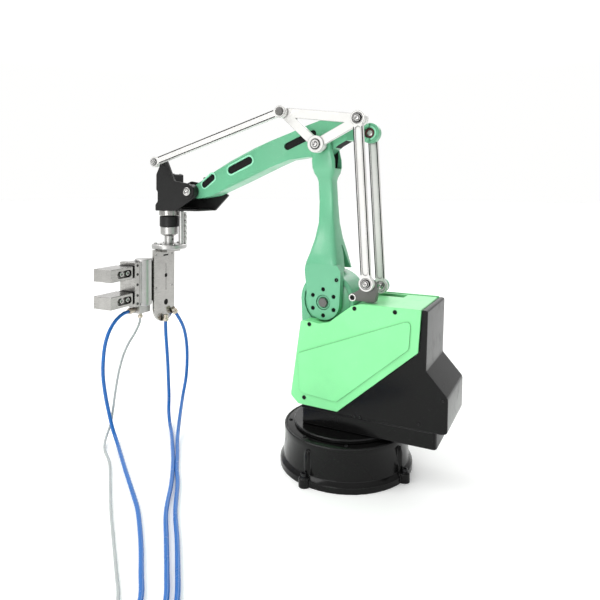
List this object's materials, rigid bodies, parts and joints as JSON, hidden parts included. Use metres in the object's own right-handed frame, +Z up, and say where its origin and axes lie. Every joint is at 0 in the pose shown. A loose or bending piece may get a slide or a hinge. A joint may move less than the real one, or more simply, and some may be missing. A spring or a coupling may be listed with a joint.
{
  "type": "desktop robot arm",
  "caption": "Desktop robot arm with a round base, covered shoulder, parallel level links, level wrist and a pneumatic two-finger gripper with its air tubes.",
  "frame": {"origin": "centre of the round base's flat underside, on the turning axis", "axes": "+X the way the arm points at rest, +Y the arm's left, +Z up along the turning axis"},
  "size_m": [0.5551, 0.5628, 0.5416],
  "materials": {
    "green_paint": "satin mint green paint on cast aluminium",
    "light_green_paint": "satin light green paint on sheet covers",
    "gloss_black": "gloss black paint",
    "matt_black": "matt black powder coat",
    "white_aluminium": "fine satin machined aluminium",
    "brushed_aluminium": "brushed aluminium",
    "steel": "turned steel",
    "polished_aluminium": "polished and turned aluminium",
    "grey_steel": "dark grey coated steel",
    "motor_black": "black motor lacquer",
    "fitting_brass": "nickel-plated brass",
    "blue_tube": "glossy blue polyurethane",
    "clear_tube": "milky clear polyurethane"
  },
  "bodies": {
    "base": {"base_casting": "gloss_black", "base_top_ring": "gloss_black", "j1_bearing": "steel", "j1_reducer": "steel", "j1_motor": "motor_black"},
    "shoulder": {"turntable": "gloss_black", "foot_box": "gloss_black", "shoulder_frame": "green_paint", "body_shell": "light_green_paint", "side_cover_left": "light_green_paint", "side_cover_right": "light_green_paint", "rear_casing": "gloss_black", "j2_motor": "motor_black", "j3_motor": "motor_black", "j2_reducer": "green_paint", "j3_reducer": "steel", "rod_bracket": "grey_steel", "level_rod_pin": "steel"},
    "lower_arm": {"lower_arm": "green_paint", "shoulder_hub_bolt": "grey_steel", "elbow_shaft": "steel"},
    "triangle": {"triangle_plate": "white_aluminium", "triangle_front_pin": "grey_steel", "triangle_rear_pin": "steel", "elbow_bearing": "steel"},
    "level_rod_lower": {"level_rod_lower": "white_aluminium", "level_rod_bearing_lower": "steel", "level_rod_bearing_middle": "steel"},
    "level_rod_upper": {"level_rod_upper": "white_aluminium"},
    "crank": {"drive_crank": "green_paint"},
    "crank_pin": {"crank_pin": "steel", "drive_rod_bearing": "steel"},
    "drive_rod": {"drive_rod": "white_aluminium"},
    "forearm": {"forearm": "green_paint", "forearm_tail_pin": "steel"},
    "wrist": {"wrist_bracket": "matt_black", "wrist_pin": "steel", "wrist_top_pin": "steel", "j4_motor": "motor_black", "j4_flange": "brushed_aluminium"},
    "tool": {"j4_coupling": "matt_black", "j4_hub": "polished_aluminium", "tool_disc": "polished_aluminium", "guide_post": "polished_aluminium", "sensor_stem": "steel", "gripper_plate": "brushed_aluminium", "gripper_body": "polished_aluminium", "gripper_rail": "brushed_aluminium", "fitting_left": "fitting_brass", "fitting_clear": "fitting_brass", "fitting_middle": "fitting_brass", "fitting_right": "fitting_brass", "air_tube_left": "blue_tube", "air_tube_clear": "clear_tube", "air_tube_middle": "blue_tube", "air_tube_right": "blue_tube"},
    "upper_jaw": {"upper_jaw": "matt_black", "upper_finger": "brushed_aluminium"},
    "lower_jaw": {"lower_jaw": "matt_black", "lower_finger": "brushed_aluminium"}
  },
  "joints": [
    {"name": "j1_turn", "type": "hinge", "parent": "base", "child": "shoulder", "pos_m": [0, 0, 0.0613], "axis": [0, 0, 1], "range_deg": [-160, 160], "deforming": ["air_tube_left", "air_tube_clear", "air_tube_middle", "air_tube_right"]},
    {"name": "j2_lower_arm", "type": "hinge", "parent": "shoulder", "child": "lower_arm", "pos_m": [0.02, 0.0335, 0.245], "axis": [0, 1, 0], "range_deg": [-20, 40], "deforming": ["air_tube_left", "air_tube_clear", "air_tube_middle", "air_tube_right"]},
    {"name": "level_rod_foot", "type": "hinge", "parent": "shoulder", "child": "level_rod_lower", "pos_m": [-0.05, 0.0455, 0.279], "axis": [0, 1, 0], "range_deg": [-21, 41]},
    {"name": "elbow_level", "type": "hinge", "parent": "lower_arm", "child": "triangle", "pos_m": [0.03276, 0.0355, 0.48065], "axis": [0, 1, 0], "range_deg": [-41, 21]},
    {"name": "j3_forearm", "type": "hinge", "parent": "triangle", "child": "forearm", "pos_m": [0.03276, 0, 0.48065], "axis": [0, 1, 0], "range_deg": [-30, 30], "deforming": ["air_tube_left", "air_tube_clear", "air_tube_middle", "air_tube_right"]},
    {"name": "drive_crank_turn", "type": "hinge", "parent": "shoulder", "child": "crank", "pos_m": [0.02, -0.0385, 0.245], "axis": [0, 1, 0], "range_deg": [-31, 31]},
    {"name": "crank_pin_turn", "type": "hinge", "parent": "crank", "child": "crank_pin", "pos_m": [-0.046, -0.0345, 0.2636], "axis": [0, 1, 0], "range_deg": [-31, 31]},
    {"name": "drive_rod_foot", "type": "hinge", "parent": "crank_pin", "child": "drive_rod", "pos_m": [-0.046, -0.0305, 0.2636], "axis": [0, 1, 0], "range_deg": [-21, 41]},
    {"name": "level_rod_elbow", "type": "hinge", "parent": "triangle", "child": "level_rod_upper", "pos_m": [0.08876, 0.0455, 0.53205], "axis": [0, 1, 0], "range_deg": [-31, 31]},
    {"name": "wrist_level", "type": "hinge", "parent": "forearm", "child": "wrist", "pos_m": [0.28125, 0, 0.4094], "axis": [0, 1, 0], "range_deg": [-31, 31]},
    {"name": "j4_tool_turn", "type": "hinge", "parent": "wrist", "child": "tool", "pos_m": [0.345, 0, 0.355], "axis": [0, 0, 1], "range_deg": [-150, 150], "deforming": ["air_tube_left", "air_tube_clear", "air_tube_middle", "air_tube_right"]},
    {"name": "upper_jaw_slide", "type": "slide", "parent": "tool", "child": "upper_jaw", "axis": [0, 0, -1], "range_m": [0, 0.011]},
    {"name": "lower_jaw_slide", "type": "slide", "parent": "tool", "child": "lower_jaw", "axis": [0, 0, 1], "range_m": [0, 0.0112]}
  ],
  "couplings": [
    {"joint": "level_rod_foot", "follows": "j2_lower_arm", "ratio": 1},
    {"joint": "elbow_level", "follows": "j2_lower_arm", "ratio": -1},
    {"joint": "drive_rod_foot", "follows": "j2_lower_arm", "ratio": 1},
    {"joint": "drive_crank_turn", "follows": "j3_forearm", "ratio": 1},
    {"joint": "crank_pin_turn", "follows": "j3_forearm", "ratio": -1},
    {"joint": "level_rod_elbow", "follows": "j3_forearm", "ratio": 1},
    {"joint": "wrist_level", "follows": "j3_forearm", "ratio": -1},
    {"joint": "lower_jaw_slide", "follows": "upper_jaw_slide", "ratio": 1}
  ]
}
